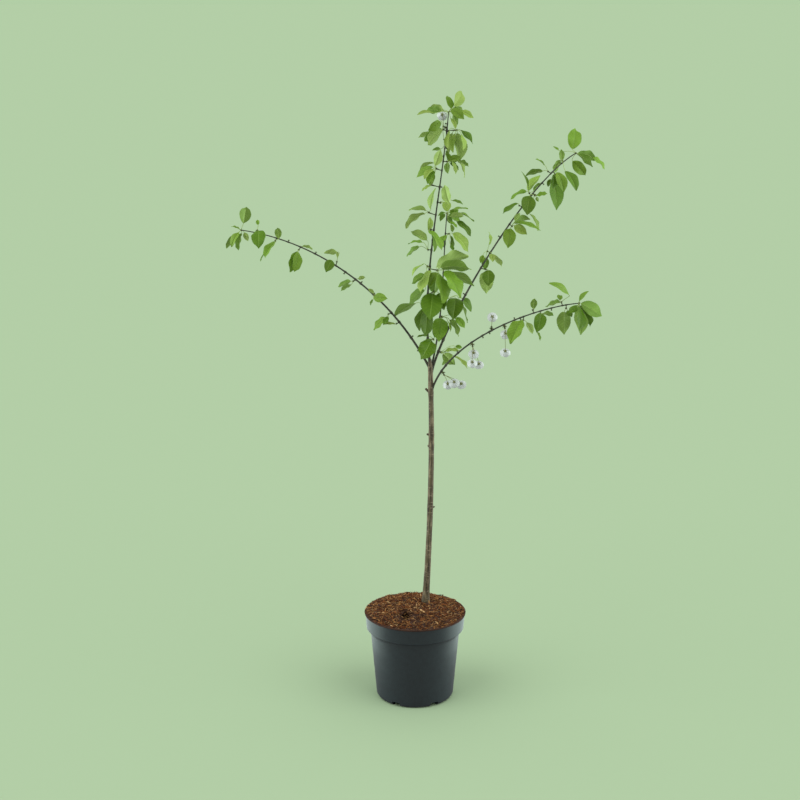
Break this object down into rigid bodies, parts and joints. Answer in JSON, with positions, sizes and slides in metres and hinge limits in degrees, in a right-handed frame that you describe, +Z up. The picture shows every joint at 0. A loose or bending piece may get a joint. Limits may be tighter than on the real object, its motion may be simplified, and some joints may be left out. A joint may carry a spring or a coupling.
{
  "type": "potted sour cherry tree",
  "caption": "Young sour cherry tree in a round nursery pot: bare trunk, upright leader and three spreading boughs with leafy spurs and small bunches of white blossom.",
  "frame": {"origin": "middle of the pot's flat underside, which stands on the ground", "axes": "+Z up along the pot and the trunk, -Y towards the viewer, +X to the viewer's right"},
  "size_m": [0.9397, 0.5281, 1.5077],
  "materials": {
    "pot": "dark anthracite moulded plastic, faint satin",
    "mulch": "shredded brown bark and coir, dry and rough",
    "trunk_bark": "dark grey-brown bark with pale streaks",
    "bough_bark": "smooth young olive-brown bark with buds",
    "foliage": "fresh green serrated leaves, satin upper side",
    "blossom": "thin white petals"
  },
  "bodies": {
    "root": {"blossom_1": "blossom", "blossom_2": "blossom", "blossom_3": "blossom", "blossom_4": "blossom", "blossom_5": "blossom", "bough_left": "bough_bark", "bough_lower_right": "bough_bark", "bough_upper_right": "bough_bark", "foliage_fork_1": "foliage", "foliage_leader_1": "foliage", "foliage_leader_10": "foliage", "foliage_leader_11": "foliage", "foliage_leader_12": "foliage", "foliage_leader_13": "foliage", "foliage_leader_14": "foliage", "foliage_leader_15": "foliage", "foliage_leader_2": "foliage", "foliage_leader_3": "foliage", "foliage_leader_4": "foliage", "foliage_leader_5": "foliage", "foliage_leader_6": "foliage", "foliage_leader_7": "foliage", "foliage_leader_8": "foliage", "foliage_leader_9": "foliage", "foliage_left_1": "foliage", "foliage_left_2": "foliage", "foliage_left_3": "foliage", "foliage_left_4": "foliage", "foliage_left_5": "foliage", "foliage_left_6": "foliage", "foliage_left_7": "foliage", "foliage_left_8": "foliage", "foliage_left_9": "foliage", "foliage_lower_1": "foliage", "foliage_lower_2": "foliage", "foliage_lower_3": "foliage", "foliage_lower_4": "foliage", "foliage_lower_5": "foliage", "foliage_second_1": "foliage", "foliage_second_3": "foliage", "foliage_second_5": "foliage", "foliage_tip_bough_left": "foliage", "foliage_tip_bough_lower_right": "foliage", "foliage_tip_bough_upper_right": "foliage", "foliage_tip_leader": "foliage", "foliage_tip_second_shoot": "foliage", "foliage_upper_1": "foliage", "foliage_upper_10": "foliage", "foliage_upper_2": "foliage", "foliage_upper_4": "foliage", "foliage_upper_5": "foliage", "foliage_upper_6": "foliage", "foliage_upper_7": "foliage", "foliage_upper_8": "foliage", "foliage_upper_9": "foliage", "leader": "bough_bark", "mulch": "mulch", "pot": "pot", "second_shoot": "bough_bark", "trunk": "trunk_bark"}
  },
  "joints": []
}
